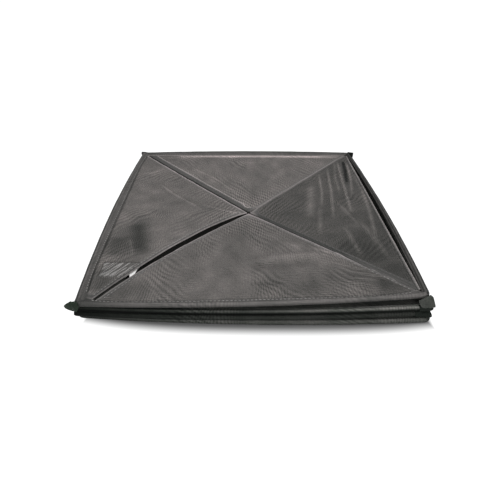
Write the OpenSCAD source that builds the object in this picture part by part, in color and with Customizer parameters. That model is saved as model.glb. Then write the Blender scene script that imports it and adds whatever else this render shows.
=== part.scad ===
// Folding crab trap, folded flat. Four square spring-wire hoops lie on each other, each in a taped
// binding. Three tiers of wall mesh are folded inward between them, a mesh floor closes the bottom
// hoop, and four triangular flaps close the top one.
// Millimetres, +Z up, front towards -Y, origin on the ground under the middle of the stack.

/* [Hoops] */
// Half the distance between opposite sides of a hoop, to the wire's centre, at its corners
hoop_half = 292; // [220:1:380]
// How far each side springs outward at its middle
side_bow = 10; // [4:0.5:14]
// Length of a side that each rounded corner takes up
corner_reach = 10; // [8:1:26]
// Spring wire diameter
wire_d = 4; // [3:0.1:4.4]
// Length of the crimped sleeve over the wire's two ends
ferrule_l = 26; // [16:1:40]

/* [Binding] */
// Outside diameter of the tape rolled round the wire
roll_d = 9.2; // [8.6:0.1:11]
// Room between the wire and the inside of the roll
wire_play = 1.1; // [1:0.05:1.3]
// Distance from the wire's centre to the sewn inner edge of the hem, at a corner
hem_w = 13; // [10:0.5:18]
// Thickness of the sewn hem
hem_t = 2.2; // [1.8:0.1:2.6]

/* [Folded stack] */
// Clear height between one roll and the next
stack_gap = 0.4; // [0.3:0.1:2]
// Sideways shift of the bottom, lower, upper and top hoop
shift_x = [8, -2, 3, -4]; // [-20:1:20]
// Shift towards the back of the bottom, lower, upper and top hoop
shift_y = [0, 0, 2, 6]; // [-20:1:20]
// Turn of the bottom, lower, upper and top hoop
turn = [-1.4, -0.6, -0.5, 0]; // [-2:0.1:2]
// Height that the front-right corner of the bottom, lower, upper and top hoop springs up by
lift = [0, 1, 2, 7]; // [0:0.5:10]
// Distance to the right that the front-left corner of each hoop is drawn out of square
front_left_x = [0, 0, 0, 5]; // [-10:0.5:10]
// Distance towards the back that the front-right corner of each hoop is drawn
front_right_y = [-9, -8, -8, 0]; // [-12:0.5:12]
// Distance towards the back that the back-left corner of each hoop is drawn
back_left_y = [0, 0, 0, 7]; // [-12:0.5:12]
// Distance towards the back that the back-right corner of each hoop is drawn
back_right_y = [0, 0, 0, -7]; // [-12:0.5:12]

/* [Mesh] */
// Thickness of the mesh cloth
mesh_t = 0.8; // [0.5:0.1:1]
// Depth of the inward fold of a wall tier, from the wire's centre
fold_depth = 60; // [45:1:80]

/* [Flaps] */
// How far the flap tips hang below the hem at the middle
flap_sag = 16; // [4:1:20]
// Width of the hem folded along a flap's slanted edges
flap_hem_w = 8; // [6:0.5:11]
// Thickness of that hem
flap_hem_t = 2.4; // [1.8:0.1:2.6]
// Gap between the closed edges of two flaps
seam_gap = 2; // [1.4:0.1:4]
// Width of the open slit between the front and left flaps, at its middle
slit_gap = 12; // [4:0.5:14]
// How far the slit curves into the left flap
slit_bow = 14; // [0:1:20]
// How far its outer end lies from the corner, on the side of the front flap
slit_end = 13; // [0:1:16]
// How far the back flap's edges curve out over its neighbours
back_bow = 2; // [0:1:12]
// Distance from the wire's centre to the free outer edge of the right flap, at a corner
free_edge_in = 6.4; // [6.2:0.1:8]
// Width of the hem on that free edge
free_hem_w = 6; // [4:0.5:8]
// Height of the gathers that fan out from the back-right corner
gather_h = 3; // [0:0.25:4]

/* [Patch] */
// Length of the patch under the left flap
patch_l = 62; // [40:1:64]
// Width of the patch
patch_w = 41; // [20:1:46]
// Thickness of the patch
patch_t = 0.8; // [0.5:0.1:1]

/* [Tape ends] */
// Length of the leaf-shaped tape end at the front-left corner
leaf_l = 24; // [14:1:30]
// Height of that tape end
leaf_h = 18; // [8:1:20]
// Length of the tape end at the back-right corner
back_leaf_l = 19; // [12:1:26]
// Height of that tape end
back_leaf_h = 11; // [7:1:14]
// Length of the broad tape end at the front-right corner
flag_l = 30; // [20:1:40]
// Height of that tape end
flag_h = 22; // [14:1:24]

/* [Hidden] */
$fn = 48;
BOTTOM = 0;
LOWER = 1;
UPPER = 2;
TOP = 3;
FRONT = 0;
RIGHT = 1;
BACK = 2;
LEFT = 3;

tape_colour = [0.22, 0.23, 0.22];
mesh_colour = [0.38, 0.37, 0.36];
steel_colour = [0.72, 0.72, 0.74];
patch_colour = [0.86, 0.86, 0.84];

roll_r = roll_d / 2;
bore_r = wire_d / 2 + wire_play;
rest_cut = 0.5;
rest_z = roll_r - rest_cut;
pitch = roll_d + stack_gap;
hem_half = hoop_half - hem_w;
corner_t = 1 - corner_reach / hoop_half;
side_steps = 4;
roll_angles = [20, 68, 112, 150, 210, 248, 292, 340];
leg_gap = 0.3;
mitre_gap = 0.2;
// Width of the tape inside the roll where no flap is sewn into it
lip_w = 1.6;
wire_sides = 6;
end_gap = 0.3;
sleeve_gap = 0.15;
bore_flat_r = bore_r * cos((roll_angles[4] - roll_angles[3]) / 2);

// Small distances that keep neighbouring pieces apart
skin_gap = 0.3;
hinge_gap = 0.7;

flap_rows = 16;
flap_cols = 12;
gathered_cols = 20;
hem_run = flap_hem_w * sqrt(2);
hem_start = 2.5;
tip_y = flap_hem_w * 2.5;
sag_power = 1.2;
gather_reach = 150;
gather_fade = 60;
gather_waves = 12;
flap_base = [
    hem_half - hinge_gap,
    hoop_half - free_edge_in,
    hem_half - hinge_gap,
    hem_half - hinge_gap
];
// Signed curve of the edge between each flap and the one before it, in the order of the flaps
seam_bow = [slit_bow, 0, back_bow, -back_bow];

function clamp(v, low, high) = max(low, min(high, v));
function hoop_z(k) = rest_z + k * pitch;
function bulge(s) = 4 * s * (1 - s);

// A plan point turned by whole quarters, so that one side stands for all four
function spin(p, s) =
    s == 0 ? [p.x, p.y] :
    s == 1 ? [-p.y, p.x] :
    s == 2 ? [-p.x, -p.y] :
    [p.y, -p.x];

// A point in a hoop's own frame, set in the folded stack
function on_hoop(k, p, z) =
    let (across = clamp((p.x + hoop_half) / (2 * hoop_half), 0, 1))
    let (forward = clamp((hoop_half - p.y) / (2 * hoop_half), 0, 1))
    let (back_y = back_left_y[k] * (1 - across) + back_right_y[k] * across)
    [
        p.x * cos(turn[k]) - p.y * sin(turn[k]) + shift_x[k] + front_left_x[k] * (1 - across) * forward,
        p.x * sin(turn[k]) + p.y * cos(turn[k]) + shift_y[k]
            + front_right_y[k] * across * forward + back_y * (1 - forward),
        hoop_z(k) + z + lift[k] * across * forward
    ];

// The front side of a hoop's wire, bowed outward, with half a rounded corner at each end
function side_pt(t) = [t * hoop_half, -hoop_half - side_bow * (1 - t * t)];
function corner_pt(q) =
    (1 - q) * (1 - q) * side_pt(corner_t)
    + 2 * q * (1 - q) * [hoop_half, -hoop_half]
    + q * q * spin(side_pt(-corner_t), 1);
half_run = concat(
    [for (i = [0:side_steps]) side_pt(corner_t * i / side_steps)],
    [corner_pt(0.25), corner_pt(0.5)]
);
last_half = len(half_run) - 1;
side_run = concat([for (i = [last_half:-1:1]) [-half_run[i].x, half_run[i].y]], half_run);
side_end = len(side_run) - 1;

// Once round a hoop, from the middle of the back
hoop_loop = [for (s = [BACK, LEFT, FRONT, RIGHT]) for (i = [0:side_end - 1]) spin(side_run[i], s)];
loop_n = len(hoop_loop);
function loop_pt(i) = hoop_loop[(i + last_half) % loop_n];

function unit(v) = v / norm(v);
function left_of(v) = [-v.y, v.x];
function inset(p, d) = p * (1 - d / max(abs(p.x), abs(p.y)));

// Solids from rings of points with an even count, either with two ends or closed into a loop
function quad(a, b, c, d) = [[a, b, c], [a, c, d]];
function tube_faces(n, rows) = [
    for (i = [0:rows - 1]) for (j = [0:n - 1])
    each quad(i * n + j, (i + 1) * n + j, (i + 1) * n + (j + 1) % n, i * n + (j + 1) % n)
];
function cap_faces(n, first) = [
    for (j = [0:n / 2 - 2]) each quad(first + j, first + j + 1, first + n - 2 - j, first + n - 1 - j)
];
function reversed(faces) = [for (f = faces) [f[2], f[1], f[0]]];

module skin(rings) {
    n = len(rings[0]);
    last = len(rings) - 1;
    polyhedron(
        [for (r = rings) each r],
        concat(tube_faces(n, last), cap_faces(n, 0), reversed(cap_faces(n, last * n)))
    );
}

module skin_loop(rings) {
    n = len(rings[0]);
    count = len(rings);
    closed = [for (f = tube_faces(n, count)) [for (v = f) v % (n * count)]];
    polyhedron([for (r = rings) each r], closed);
}

// Spring wire, one length bent into a square, its ends butted at the middle of the back
function wire_centre(i) =
    i == 0 ? loop_pt(0) - [end_gap, 0] :
    i == loop_n ? loop_pt(0) + [end_gap, 0] :
    loop_pt(i);
function wire_ring(k, i) =
    let (along = unit(loop_pt(i + 1) - loop_pt(i + loop_n - 1)))
    let (side = left_of(along))
    [
        for (a = [0:wire_sides - 1])
        let (angle = 360 * (a + 0.5) / wire_sides)
        on_hoop(k, wire_centre(i) + side * cos(angle) * wire_d / 2, sin(angle) * wire_d / 2)
    ];
module hoop_wire(k)
    color(steel_colour)
    skin([for (i = [0:loop_n]) wire_ring(k, i)]);

module hoop_ferrule(k) {
    seat = on_hoop(k, loop_pt(0), 0);
    along = on_hoop(k, loop_pt(1), 0) - on_hoop(k, loop_pt(loop_n - 1), 0);
    color(steel_colour)
    translate(seat)
    rotate([0, 90, atan2(along.y, along.x)])
    difference() {
        cylinder(r = bore_flat_r - sleeve_gap, h = ferrule_l, center = true);
        cylinder(r = wire_d / 2 + sleeve_gap, h = ferrule_l + 2, center = true);
    }
}

// Binding tape along one side: a roll round the wire and two legs that meet in a flat hem
function hem_pt(k, s, p, side) =
    k == TOP && s == RIGHT ? p + side * (roll_r + lip_w) : p * hem_half / abs(p.y);
function tape_z(k, z) = k == BOTTOM ? max(z, -rest_z) : z;
function tape_ring(k, s, i) =
    let (p = side_run[i])
    let (before = side_run[max(i - 1, 0)])
    let (after = side_run[min(i + 1, side_end)])
    let (on_mitre = i == 0 || i == side_end)
    let (side = on_mitre ? unit(-p) : left_of(unit(after - before)))
    let (hem = hem_pt(k, s, p, side))
    let (mitre = [i == 0 ? mitre_gap : i == side_end ? -mitre_gap : 0, 0])
    let (outer = [for (a = roll_angles) [p + side * cos(a) * roll_r, sin(a) * roll_r]])
    let (inner = [for (a = roll_angles) [p + side * cos(a) * bore_r, sin(a) * bore_r]])
    let (section = concat(
        [[hem, hem_t / 2]], outer, [[hem, -hem_t / 2]],
        [[hem, -leg_gap]], [for (a = [len(inner) - 1:-1:0]) inner[a]], [[hem, leg_gap]]
    ))
    [for (q = section) on_hoop(k, spin(q[0] + mitre, s), tape_z(k, q[1]))];
module hoop_tape(k, s)
    color(tape_colour)
    skin([for (i = [0:side_end]) tape_ring(k, s, i)]);

// Mesh wall between two hoops, folded inward into a flat V
wall_in = 7;
wall_kink_in = 12;
wall_drop = 1.6;
crease_w = 3;
leaf_z = roll_r * sin(roll_angles[0]) + skin_gap;
crease_z = (pitch - wall_drop) / 2;
function between(a, b) = (a + b) / 2;
function wall_ring(k, i) =
    let (p = loop_pt(i))
    let (outer = inset(p, wall_in))
    let (kink = inset(p, wall_kink_in))
    let (crease = inset(p, fold_depth))
    let (notch = inset(p, fold_depth - crease_w))
    let (down = crease_z - pitch)
    [
        on_hoop(k, outer, leaf_z),
        on_hoop(k, outer, leaf_z + mesh_t),
        between(on_hoop(k, notch, crease_z), on_hoop(k + 1, notch, down)),
        on_hoop(k + 1, kink, -leaf_z - wall_drop - mesh_t),
        on_hoop(k + 1, outer, -leaf_z - mesh_t),
        on_hoop(k + 1, outer, -leaf_z),
        on_hoop(k + 1, kink, -leaf_z - wall_drop),
        between(on_hoop(k, crease, crease_z + mesh_t), on_hoop(k + 1, crease, down + mesh_t)),
        between(on_hoop(k, crease, crease_z - mesh_t), on_hoop(k + 1, crease, down - mesh_t))
    ];
module tier_wall(k)
    color(mesh_colour)
    skin_loop([for (i = [0:loop_n - 1]) wall_ring(k, i)]);

module floor_mesh()
    color(mesh_colour)
    translate([0, 0, hoop_z(BOTTOM) - mesh_t / 2])
    linear_extrude(mesh_t)
    polygon([
        for (s = [FRONT, RIGHT, BACK, LEFT])
        let (corner = on_hoop(BOTTOM, spin([1, -1] * (hem_half - skin_gap), s), 0))
        [corner.x, corner.y]
    ]);

// Flaps are drawn as the front one and turned by quarters. Each edge follows its diagonal, with the
// curve and the gap of that seam.
function seam_half(d, c) = (seam_gap + (d == FRONT ? (slit_gap - seam_gap) * c : 0)) / 2;
function seam_curve(d, s) = seam_bow[d] * bulge(s) - (d == FRONT ? slit_end * (1 - s) * (1 - s) : 0);
function edge_x(j, hand, y) =
    let (d = hand < 0 ? j : (j + 1) % 4)
    let (s = clamp(1 + y / hem_half, 0, 1))
    let (reach = -y + sqrt(2) * (-hand * seam_curve(d, s) - seam_half(d, bulge(s))))
    hand * min(reach, hem_half - hinge_gap);

// Height of a flap below the hem: a sag towards the middle, and gathers on the right flap
function flap_dip(x, y) =
    -flap_sag * pow(clamp(1 - max(abs(x), -y) / hem_half, 0, 1), sag_power);
function gather(j, x, y) =
    let (from = [hem_half - x, y + hem_half])
    let (r = norm(from))
    let (angle = atan2(from.y, from.x))
    let (fade = clamp(from.y / gather_fade, 0, 1) * exp(-3 * pow(r / gather_reach - 0.7, 2)))
    j == RIGHT ? gather_h * sin(gather_waves * angle) * fade : 0;
function flap_at(j, x, y, z) =
    on_hoop(TOP, spin([x, y], j), flap_dip(x, y) + gather(j, x, y) + z);

// Rows run from a flap's outer edge to its tip. Its slanted hems begin at row 1, and so does the
// right flap's mesh, inside the hem of its free edge.
function hem_from(j) = j == RIGHT ? free_hem_w + skin_gap : hem_start;
function row_y(j, r) =
    let (from = -flap_base[j] + hem_from(j))
    r == 0 ? -flap_base[j] : from + (-tip_y - from) * (r - 1) / (flap_rows - 1);
function mesh_x(j, hand, y) = edge_x(j, hand, y) - hand * (hem_run + skin_gap);
function mesh_row(j, r, cols) =
    let (y = row_y(j, r))
    let (low = mesh_x(j, -1, y))
    let (high = mesh_x(j, 1, y))
    concat(
        [for (c = [0:cols]) flap_at(j, low + (high - low) * c / cols, y, mesh_t / 2)],
        [for (c = [cols:-1:0]) flap_at(j, low + (high - low) * c / cols, y, -mesh_t / 2)]
    );
module flap_mesh(j) {
    cols = j == RIGHT ? gathered_cols : flap_cols;
    first = j == RIGHT ? 1 : 0;
    color(mesh_colour)
    skin([for (r = [first:flap_rows]) mesh_row(j, r, cols)]);
}

// Hem of a flap: one folded tape up its left edge, round the tip and down its right edge
hem_crest = 0.3;
hem_edge_z = flap_hem_t * 0.3;
hem_seam_z = flap_hem_t * 0.4;
tip_lap = 1.5;
tip_gap = seam_gap * 1.3;
function hem_ring(j, edge, inner) =
    let (crest = edge + (inner - edge) * hem_crest)
    [
        flap_at(j, edge.x, edge.y, hem_edge_z),
        flap_at(j, crest.x, crest.y, flap_hem_t / 2),
        flap_at(j, inner.x, inner.y, hem_seam_z),
        flap_at(j, inner.x, inner.y, -hem_seam_z),
        flap_at(j, crest.x, crest.y, -flap_hem_t / 2),
        flap_at(j, edge.x, edge.y, -hem_edge_z)
    ];
function edge_ring(j, hand, r) =
    let (y = row_y(j, r))
    let (x = edge_x(j, hand, y))
    hem_ring(j, [x, y], [x - hand * hem_run, y]);
module flap_hem(j) {
    tip = hem_ring(j, [0, -tip_gap], [0, -tip_y + tip_lap]);
    color(tape_colour)
    skin(concat(
        [for (r = [1:flap_rows]) edge_ring(j, -1, r)],
        [tip],
        [for (r = [flap_rows:-1:1]) edge_ring(j, 1, r)]
    ));
}

// Hem on the free outer edge of the right flap, between the front and back bindings
module right_edge_hem() {
    half = hem_half - hinge_gap;
    outer = -flap_base[RIGHT];
    steps = 8;
    color(tape_colour)
    skin([
        for (i = [0:steps])
        let (x = -half + 2 * half * i / steps)
        hem_ring(RIGHT, [x, outer], [x, outer + free_hem_w])
    ]);
}

// Patch sewn under the left flap, its end trimmed along the slit
patch_in = 8;
patch_back = 94;
patch_trim = 2;
patch_rows = 5;
patch_side = hem_half - patch_back;
function patch_row(i) =
    let (y = patch_in - hem_half + patch_l * i / patch_rows)
    let (far = min(patch_side + patch_w, edge_x(LEFT, 1, y) - patch_trim))
    let (top = -flap_hem_t / 2 - skin_gap)
    [
        flap_at(LEFT, patch_side, y, top),
        flap_at(LEFT, far, y, top),
        flap_at(LEFT, far, y, top - patch_t),
        flap_at(LEFT, patch_side, y, top - patch_t)
    ];
module left_patch()
    color(patch_colour)
    skin([for (i = [0:patch_rows]) patch_row(i)]);

// Flat ends of the binding tape that stand out at three corners
tab_t = 1.6;
leaf_lean = 8;
leaf_drop = 2;
leaf_in = 0.8;
back_leaf_rise = 1;
flag_rise = 10;
corner_out = corner_pt(0.5).x + roll_r / sqrt(2) + skin_gap;
front_out = side_pt(corner_t).y - roll_r - tab_t / 2 - skin_gap;
module leaf(length, height) {
    radius = (length * length / 4 + height * height / 4) / height;
    intersection() {
        translate([0, radius - height / 2]) circle(radius);
        translate([0, height / 2 - radius]) circle(radius);
    }
}
module rounded(width, height, radius) {
    square([width - 2 * radius, height], center = true);
    square([width, height - 2 * radius], center = true);
    for (x = [-1, 1], y = [-1, 1])
        translate([x * (width / 2 - radius), y * (height / 2 - radius)]) circle(radius);
}
module standing(at, swing, lean)
    translate(at)
    rotate([90, lean, swing])
    linear_extrude(tab_t, center = true)
    children();

module top_front_left_tab()
    color(tape_colour)
    standing(on_hoop(TOP, [leaf_in - corner_out - leaf_l / 2, -corner_out], -leaf_drop), 0, leaf_lean)
    leaf(leaf_l, leaf_h);
module top_back_right_tab()
    color(tape_colour)
    standing(on_hoop(TOP, [corner_out + back_leaf_l / 2, corner_out], back_leaf_rise), 0, -leaf_lean)
    leaf(back_leaf_l, back_leaf_h);
module upper_front_right_tab()
    color(tape_colour)
    standing(on_hoop(UPPER, [hoop_half - flag_l / 6, front_out], flag_rise), 0, 0)
    rounded(flag_l, flag_h, flag_h / 4);

hoop_wire(BOTTOM);  // bottom_wire
hoop_wire(LOWER);  // lower_wire
hoop_wire(UPPER);  // upper_wire
hoop_wire(TOP);  // top_wire
hoop_ferrule(BOTTOM);  // bottom_ferrule
hoop_ferrule(LOWER);  // lower_ferrule
hoop_ferrule(UPPER);  // upper_ferrule
hoop_ferrule(TOP);  // top_ferrule
hoop_tape(BOTTOM, FRONT);  // bottom_front_tape
hoop_tape(BOTTOM, RIGHT);  // bottom_right_tape
hoop_tape(BOTTOM, BACK);  // bottom_back_tape
hoop_tape(BOTTOM, LEFT);  // bottom_left_tape
hoop_tape(LOWER, FRONT);  // lower_front_tape
hoop_tape(LOWER, RIGHT);  // lower_right_tape
hoop_tape(LOWER, BACK);  // lower_back_tape
hoop_tape(LOWER, LEFT);  // lower_left_tape
hoop_tape(UPPER, FRONT);  // upper_front_tape
hoop_tape(UPPER, RIGHT);  // upper_right_tape
hoop_tape(UPPER, BACK);  // upper_back_tape
hoop_tape(UPPER, LEFT);  // upper_left_tape
hoop_tape(TOP, FRONT);  // top_front_tape
hoop_tape(TOP, RIGHT);  // top_right_tape
hoop_tape(TOP, BACK);  // top_back_tape
hoop_tape(TOP, LEFT);  // top_left_tape
tier_wall(BOTTOM);  // lower_wall
tier_wall(LOWER);  // middle_wall
tier_wall(UPPER);  // upper_wall
floor_mesh();
flap_mesh(FRONT);  // front_flap_mesh
flap_mesh(RIGHT);  // right_flap_mesh
flap_mesh(BACK);  // back_flap_mesh
flap_mesh(LEFT);  // left_flap_mesh
flap_hem(FRONT);  // front_flap_hem
flap_hem(RIGHT);  // right_flap_hem
flap_hem(BACK);  // back_flap_hem
flap_hem(LEFT);  // left_flap_hem
right_edge_hem();
left_patch();
top_front_left_tab();
top_back_right_tab();
upper_front_right_tab();
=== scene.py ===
"""Folding crab trap, folded flat: its mesh, bindings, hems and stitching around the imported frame."""
import math

import bpy
import numpy as np
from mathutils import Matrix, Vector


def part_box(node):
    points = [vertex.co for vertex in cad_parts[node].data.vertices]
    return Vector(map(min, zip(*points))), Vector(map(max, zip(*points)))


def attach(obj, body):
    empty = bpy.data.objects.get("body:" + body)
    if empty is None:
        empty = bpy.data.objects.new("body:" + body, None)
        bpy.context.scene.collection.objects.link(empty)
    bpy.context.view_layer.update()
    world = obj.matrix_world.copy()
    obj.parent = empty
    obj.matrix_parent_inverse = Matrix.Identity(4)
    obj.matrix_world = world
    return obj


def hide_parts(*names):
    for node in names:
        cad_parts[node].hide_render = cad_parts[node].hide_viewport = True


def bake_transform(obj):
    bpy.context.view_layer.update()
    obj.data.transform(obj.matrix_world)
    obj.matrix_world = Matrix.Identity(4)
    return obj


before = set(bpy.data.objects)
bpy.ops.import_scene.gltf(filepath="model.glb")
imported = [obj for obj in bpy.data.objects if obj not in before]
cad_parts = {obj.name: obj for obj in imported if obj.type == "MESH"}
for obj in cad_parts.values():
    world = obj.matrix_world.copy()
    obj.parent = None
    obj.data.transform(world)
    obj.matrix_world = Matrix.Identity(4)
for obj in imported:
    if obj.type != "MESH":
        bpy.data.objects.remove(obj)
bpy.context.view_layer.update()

# Hoops, in metres and degrees, as they lie in the folded stack
HOOPS = ("bottom", "lower", "upper", "top")
SIDES = ("front", "right", "back", "left")
HOOP_BODY = {"bottom": "base", "lower": "lower_hoop", "upper": "upper_hoop", "top": "top_hoop"}
SHIFT = {"bottom": (0.008, 0.0), "lower": (-0.002, 0.0), "upper": (0.003, 0.002), "top": (-0.004, 0.006)}
TURN = {"bottom": -1.4, "lower": -0.6, "upper": -0.5, "top": 0.0}
LIFT = {"bottom": 0.0, "lower": 0.001, "upper": 0.002, "top": 0.007}
HOOP_HALF = 0.292
SIDE_BOW = 0.010
CORNER_REACH = 0.010
REST_Z = 0.0041
PITCH = 0.0096
# How far corners are drawn out of square
FRONT_LEFT_X = {"top": 0.005}
FRONT_RIGHT_Y = {"bottom": -0.009, "lower": -0.008, "upper": -0.008}
BACK_LEFT_Y = {"top": 0.007}
BACK_RIGHT_Y = {"top": -0.007}

# Bindings
ROLL_R = 0.0046
HEM_IN = 0.013
HEM_HALF = HOOP_HALF - HEM_IN
LEG_Z = 0.0011
LIP = 0.0016
TAPE_T = 0.0007
FLANGE_BOW = {"front": 0.0135, "right": 0.0, "back": 0.0, "left": 0.0105}

# Mesh, flaps and folds
MESH_T = 0.0005
FLAP_SAG = 0.016
SEAM_GAP = (0.0042, 0.0018, 0.0006, 0.0032)
SLIT_GAP = 0.0185
SLIT_END = 0.013
SEAM_BOW = (0.0115, 0.0, 0.002, -0.002)
FREE_EDGE = HOOP_HALF - 0.005
FREE_HEM = 0.006
FOLD_DEPTH = 0.060
WALL_IN = 0.007


# Modelling helpers

def deselect_all():
    for piece in bpy.context.selected_objects:
        piece.select_set(False)


def rows_of(data, field, width):
    """One field of every item in a mesh's data, a row for each."""
    flat = np.empty(len(data) * width)
    data.foreach_get(field, flat)
    return flat.reshape(-1, width)


def paint(mesh, name, values):
    """A number for each point. Its tone is how light the cloth is painted there, beside its own colour; it
    carries the painted light and shade: highlights, sheen lines and shaded gaps, flanks and grooves.
    """
    mesh.attributes.new(name, "FLOAT", "POINT").data.foreach_set("value", values)


def lay_cloth(name, across, along, place, cut, tone=None):
    """A grid of cloth, laid by place(u, v) for u and v from 0 to 1. Its map is in metres, as cut."""
    deselect_all()
    bpy.ops.mesh.primitive_grid_add(x_subdivisions=across, y_subdivisions=along, size=1)
    piece = bpy.context.object
    piece.name = name
    mesh = piece.data
    mesh.name = name
    flat = rows_of(mesh.vertices, "co", 3)
    u, v = np.clip(flat[:, 0] + 0.5, 0, 1), np.clip(flat[:, 1] + 0.5, 0, 1)
    mesh.vertices.foreach_set("co", place(u, v).ravel())
    paint(mesh, "tone", tone(u, v) if tone else np.ones(len(flat)))
    chart = mesh.uv_layers.active.data
    chart.foreach_set("uv", (rows_of(chart, "uv", 2) * cut).ravel())
    mesh.update()
    return piece


def thicken(piece, thickness, offset=0.0):
    shell = piece.modifiers.new("thickness", "SOLIDIFY")
    shell.thickness = thickness
    shell.offset = offset
    bpy.ops.object.modifier_apply(modifier=shell.name)
    bpy.ops.object.shade_smooth_by_angle(angle=math.radians(50))
    return piece


def close_loop(piece):
    """Joins the two ends of a grid that has been laid round in a ring."""
    bpy.ops.object.mode_set(mode="EDIT")
    bpy.ops.mesh.select_all(action="SELECT")
    bpy.ops.mesh.remove_doubles(threshold=0.00005)
    bpy.ops.object.mode_set(mode="OBJECT")
    return piece


def dress(piece, finish):
    piece.data.materials.append(finish)
    return piece


def path_length(points):
    return float(np.linalg.norm(np.diff(points, axis=0), axis=1).sum())


# Places on the hoops

def spin(x, y, side):
    """A plan point turned by whole quarters, so that the front side stands for all four."""
    return ((x, y), (-y, x), (-x, -y), (y, -x))[SIDES.index(side)]


def hoop_at(hoop, x, y, z):
    """Points in a hoop's own plan, set in the folded stack."""
    across = np.clip((x + HOOP_HALF) / (2 * HOOP_HALF), 0, 1)
    forward = np.clip((HOOP_HALF - y) / (2 * HOOP_HALF), 0, 1)
    turn = math.radians(TURN[hoop])
    level = REST_Z + HOOPS.index(hoop) * PITCH
    back_y = BACK_LEFT_Y.get(hoop, 0) * (1 - across) + BACK_RIGHT_Y.get(hoop, 0) * across
    return np.stack([
        x * math.cos(turn) - y * math.sin(turn) + SHIFT[hoop][0]
        + FRONT_LEFT_X.get(hoop, 0) * (1 - across) * forward,
        x * math.sin(turn) + y * math.cos(turn) + SHIFT[hoop][1]
        + FRONT_RIGHT_Y.get(hoop, 0) * across * forward + back_y * (1 - forward),
        level + z + LIFT[hoop] * across * forward,
    ], -1)


def flange_edge(side, x):
    """How far out the sewn inner edge of a top binding lies, along its side."""
    return HEM_HALF + FLANGE_BOW[side] * np.clip(1 - (x / HOOP_HALF) ** 8, 0, 1)


def side_line(steps, corner_steps):
    """The front side's wire, from mid-corner to mid-corner, and its inward normals."""
    corner_t = 1 - CORNER_REACH / HOOP_HALF
    t = np.linspace(-corner_t, corner_t, steps + 1)
    side = np.stack([t * HOOP_HALF, -HOOP_HALF - SIDE_BOW * (1 - t * t)], -1)
    q = np.linspace(0, 0.5, corner_steps + 1)[1:, None]
    across = np.array([-side[0, 1], side[0, 0]])
    corner = (1 - q) ** 2 * side[-1] + 2 * q * (1 - q) * np.array([HOOP_HALF, -HOOP_HALF]) + q * q * across
    line = np.concatenate([corner[::-1] * [-1, 1], side, corner])
    along = np.gradient(line, axis=0)
    normal = np.stack([-along[:, 1], along[:, 0]], -1)
    normal[[0, -1]] = -line[[0, -1]]
    return line, normal / np.linalg.norm(normal, axis=1)[:, None]


def ripple(x, seed, wave):
    """A smooth uneven wave, from -1 to 1, that never repeats along a side."""
    turn = 2 * math.pi * x / wave
    return (np.sin(turn + seed) + np.sin(1.618 * turn + 2.3 * seed) + np.sin(2.37 * turn + 4.1 * seed)) / 3


# Finishes

def new_finish(name):
    finish = bpy.data.materials.new(name)
    finish.use_nodes = True
    return finish, Wiring(finish.node_tree), finish.node_tree.nodes["Principled BSDF"]


class Wiring:
    """Adds and links nodes in one node tree."""

    def __init__(self, tree):
        self.nodes = tree.nodes
        self.links = tree.links

    def put(self, socket, value):
        if isinstance(value, bpy.types.NodeSocket):
            self.links.new(value, socket)
        else:
            socket.default_value = value

    def feed(self, node, values):
        """Links or sets the inputs of a node, by name."""
        for label, value in values.items():
            self.put(node.inputs[label], value)
        return node

    def add(self, kind, values):
        return self.feed(self.nodes.new(kind), values)

    def group(self, tree, values):
        node = self.nodes.new("ShaderNodeGroup")
        node.node_tree = tree
        return self.feed(node, values).outputs

    def attribute(self, name):
        node = self.nodes.new("ShaderNodeAttribute")
        node.attribute_name = name
        return node.outputs["Fac"]

    def split(self, vector):
        node = self.nodes.new("ShaderNodeSeparateXYZ")
        self.put(node.inputs[0], vector)
        return node.outputs["X"], node.outputs["Y"]

    def math(self, operation, a, b=0.0, c=0.0):
        node = self.nodes.new("ShaderNodeMath")
        node.operation = operation
        for socket, value in zip(node.inputs, (a, b, c)):
            self.put(socket, value)
        return node.outputs[0]

    def span(self, value, low, high, to_low, to_high):
        node = self.nodes.new("ShaderNodeMapRange")
        node.interpolation_type = "SMOOTHSTEP"
        for socket, number in zip(node.inputs, (value, low, high, to_low, to_high)):
            self.put(socket, number)
        return node.outputs[0]

    def noise(self, vector, scale, detail, stretch=(1, 1, 1)):
        mapped = self.add("ShaderNodeMapping", {"Vector": vector, "Scale": stretch}).outputs[0]
        node = self.add("ShaderNodeTexNoise", {"Vector": mapped, "Scale": scale, "Detail": detail})
        return node.outputs["Fac"]

    def mix(self, factor, a, b):
        node = self.nodes.new("ShaderNodeMix")
        node.data_type = "RGBA"
        return self.feed(node, {"Factor": factor, "A": a, "B": b}).outputs["Result"]


def new_group(name, inputs, outputs):
    """A node group with its wiring, what is given to it and the node that takes its result."""
    group = bpy.data.node_groups.new(name, "ShaderNodeTree")
    for way, sockets in (("INPUT", inputs), ("OUTPUT", outputs)):
        for label, kind in sockets:
            group.interface.new_socket(label, in_out=way, socket_type="NodeSocket" + kind)
    w = Wiring(group)
    return group, w, w.nodes.new("NodeGroupInput").outputs, w.nodes.new("NodeGroupOutput")


def weave_group():
    """Two crossed sets of threads on the cloth's own map: where thread lies, and how high."""
    group, w, given, result = new_group(
        "cloth_weave",
        [("Map", "Vector"), ("Thread Pitch", "Float"), ("Openness", "Float")],
        [("Thread", "Float"), ("Height", "Float")],
    )
    turns = w.math("DIVIDE", math.pi, given["Thread Pitch"])
    sets = []
    for axis in w.split(given["Map"]):
        wave = w.math("ABSOLUTE", w.math("SINE", w.math("MULTIPLY", axis, turns)))
        sets.append(w.span(wave, given["Openness"], 1.0, 0.0, 1.0))
    w.feed(result, {"Thread": w.math("MAXIMUM", *sets), "Height": w.math("ADD", *sets)})
    return group


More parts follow.
